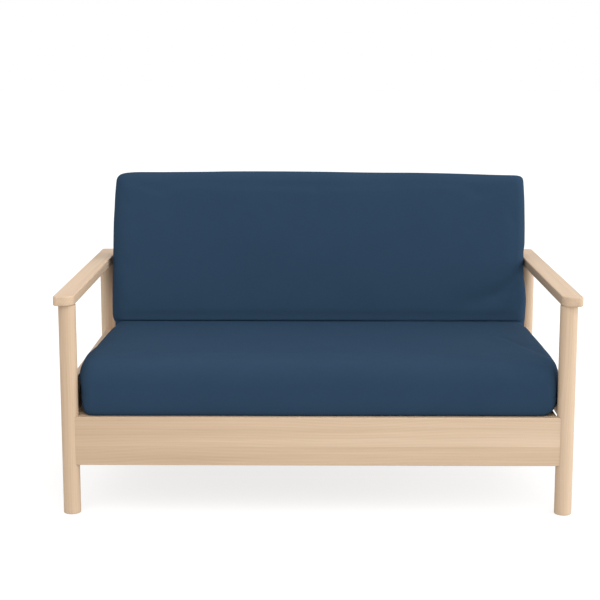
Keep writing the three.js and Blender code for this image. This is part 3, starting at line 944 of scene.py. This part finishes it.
# and a faint crease crosses the seat's right corner
seat_fold = [(520, 380, 0, 30), (565, 352, 1.6, 24), (628, 200, 2.2, 24), (671, 92, 1.2, 20),
             (695, 60, 0, 20)]
sunk = on_back * trough(arm_fold, side_to_side, rise, 0.25)
sunk += on_seat * trough(seat_fold, side_to_side, behind_front, 0.25)

# the seams draw the sides in a little, and the cloth puckers along them
from_seam = point_values(finer, "from_seam") / MM
cloth_run = point_values(finer, "cloth_run")
wander = np.array([noise.noise(Vector((run * 9, 3.1, 0))) for run in cloth_run])
PUCKER_PITCH = 29 * MM
puckers = np.sin(cloth_run / PUCKER_PITCH * 2 * math.pi + 5 * wander)
seam_form = {"depth": 2.0, "width": 4.5, "pucker": 0.45, "pucker width": 15}
SEAM_END = 110 * MM
sewn = smooth(cloth_run / SEAM_END) * smooth((cloth_run.max() - cloth_run) / SEAM_END)
keep_on_points(finer, "sewn", sewn)
sunk += sewn * seam_form["depth"] * np.exp(-(from_seam / seam_form["width"]) ** 2)
near_seam = np.exp(-(from_seam / seam_form["pucker width"]) ** 2)
sunk += sewn * seam_form["pucker"] * puckers * near_seam

# and nowhere is the filling quite even: long swells of 1.6 mm, and shorter ones on them
SWELLS_AT = Vector((7, 1, 4))
sunk += np.array([noise.noise(Vector(p) * 3.3 + SWELLS_AT) * 1.6
                  + noise.noise(Vector(p) * 9.0) * 0.35 for p in points])
points -= sunk[:, None] * MM * outward
finer.vertices.foreach_set("co", points.ravel())


def twill_group():
    """Cotton twill: two threads over one under, each row one thread further, in metres."""
    tree, given, result = new_tree(
        "cotton_twill", "ShaderNodeTree",
        {"Place": "Vector", "Thread": "Float", "Colour": "Color", "Seam": "Float"},
        {"Colour": "Color", "Height": "Float"})
    thread = vector_from(tree, *[given["Thread"]] * 3)
    threads = split(tree, vector_node(tree, "DIVIDE", given["Place"], thread))

    def rounded(value):
        middle = math_node(tree, "SUBTRACT", math_node(tree, "FRACT", value), 0.5)
        square = math_node(tree, "MULTIPLY", middle, middle)
        return math_node(tree, "SQRT", math_node(
            tree, "SUBTRACT", 1.0, math_node(tree, "MULTIPLY", square, 3.6)))

    row = total(tree, *[math_node(tree, "FLOOR", threads[i]) for i in range(2)])
    order = math_node(tree, "FRACT", math_node(tree, "DIVIDE", row, 3.0))
    height = add_node(tree, "ShaderNodeMix", {
        0: math_node(tree, "GREATER_THAN", order, 0.5), 2: rounded(threads[0]),
        3: math_node(tree, "MULTIPLY", rounded(threads[1]), 0.8),
    }).outputs[0]

    # thick and thin places, long along either thread, and soft patches as wide as a hand
    slubs = [stretched_noise(tree, given["Place"], stretch, 2, 0.6)[0]
             for stretch in ((900, 28, 1), (24, 700, 1), (5, 5, 1))]
    uneven = total(tree, *slubs[:2], math_node(tree, "MULTIPLY", slubs[2], 0.7))
    # painted shade in the weave: the colour follows the threads' height, lighter on their crowns
    # and darker in the hollows between them
    shade = total(tree, off_middle(tree, uneven, 1.35, 0.16), off_middle(tree, height, 0.75, 0.3),
                  math_node(tree, "MULTIPLY", given["Seam"], -0.35), 1.0)
    grey = vector_from(tree, shade, shade, shade)
    tree.links.new(mix_colours(tree, 1.0, given["Colour"], grey, "MULTIPLY"), result["Colour"])
    tree.links.new(height, result["Height"])
    return tree


thread_pitch = 0.55 * MM
navy = paint(42, 63, 84)


def navy_cotton_material():
    """The twill in the cloth's own places, with a dark line where the seam is sewn."""
    material = new_material("navy_cotton", {"Roughness": 0.92, "Specular IOR Level": 0.06})
    tree = material.node_tree
    seam = map_range(tree, attribute_node(tree, "from_seam"), 0.5 * MM, 1.6 * MM, 1.0, 0.0)
    join_finish(material, twill_group(), {
        "Place": add_node(tree, "ShaderNodeUVMap", uv_map="cloth").outputs[0],
        "Thread": thread_pitch, "Colour": navy,
        "Seam": math_node(tree, "MULTIPLY", seam, attribute_node(tree, "sewn")),
    }, strength=0.6, depth=0.12 * MM)
    return material


finer.materials.append(navy_cotton_material())
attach(cover, "root")
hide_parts("futon_cover")

# ------------------------------------------------------------------ floor, light and camera
# A plain near-white floor under a soft sky that is brighter to the right, with two wide lamps,
# one from above the front and one from the right. The camera stands in front, above the arms.

FLOOR_REACH = 40.0
FLOOR_GREY, FLOOR_GLOW, FLOOR_GLOW_SEEN = 0.3, 0.47, 0.75
WHITE = (1, 1, 1, 1)


def by_ray(tree, as_light, as_seen):
    """One strength for the light that falls on the object, and one for the plain view of it."""
    seen = add_node(tree, "ShaderNodeLightPath").outputs["Is Camera Ray"]
    return add_node(tree, "ShaderNodeMix", {0: seen, 2: as_light, 3: as_seen}).outputs[0]


floor_paint = new_material("floor_paint", {
    "Base Color": (FLOOR_GREY, FLOOR_GREY, FLOOR_GREY, 1), "Roughness": 1.0,
    "Specular IOR Level": 0.0, "Emission Color": WHITE,
})
floor_tree = floor_paint.node_tree
floor_tree.links.new(by_ray(floor_tree, FLOOR_GLOW, FLOOR_GLOW_SEEN),
                     floor_tree.nodes["Principled BSDF"].inputs["Emission Strength"])
floor_corners = [(x * FLOOR_REACH, y * FLOOR_REACH, 0)
                 for x, y in ((-1, -1), (1, -1), (1, 1), (-1, 1))]
floor = new_object("floor", new_mesh("floor", floor_corners, [(0, 1, 2, 3)]))
floor.data.materials.append(floor_paint)

sky = bpy.data.worlds.new("sky")
sky.use_nodes = True
sky_tree = sky.node_tree
looking = add_node(sky_tree, "ShaderNodeTexCoord").outputs["Object"]
SKY_LEVEL, SKY_SLOPE = 0.84, (0.42, -0.05, 0.22)
slope = vector_node(sky_tree, "DOT_PRODUCT", looking, SKY_SLOPE)
glow = math_node(sky_tree, "MAXIMUM", total(sky_tree, SKY_LEVEL, slope), 0.0)
background = sky_tree.nodes["Background"].inputs
sky_tree.links.new(by_ray(sky_tree, glow, 1.0), background["Strength"])
background["Color"].default_value = WHITE
bpy.context.scene.world = sky

LAMP_ANGLE = math.radians(50)         # wide enough for soft shadows
for name, energy, towards in (("front_lamp", 1.0, (0, -0.64, 0.77)),
                              ("side_lamp", 1.4, (0.98, -0.05, 0.2))):
    lamp = new_object(name, bpy.data.lights.new(name, "SUN"))
    lamp.data.energy = energy
    lamp.data.angle = LAMP_ANGLE
    lamp.rotation_mode = "QUATERNION"
    lamp.rotation_quaternion = Vector(towards).to_track_quat("Z", "Y")

CAMERA_AT = (-0.0144, -4.4945, 1.3346)
CAMERA_DOWN, CAMERA_LEFT = 9.92, 0.51     # degrees that it looks down and is turned left
camera = new_object("camera", bpy.data.cameras.new("camera"))
camera.data.lens = 86.4
camera.data.sensor_width = 36
camera.location = CAMERA_AT
camera.rotation_euler = (math.radians(90 - CAMERA_DOWN), 0, math.radians(CAMERA_LEFT))
bpy.context.scene.camera = camera
bpy.context.scene.view_settings.view_transform = "Standard"
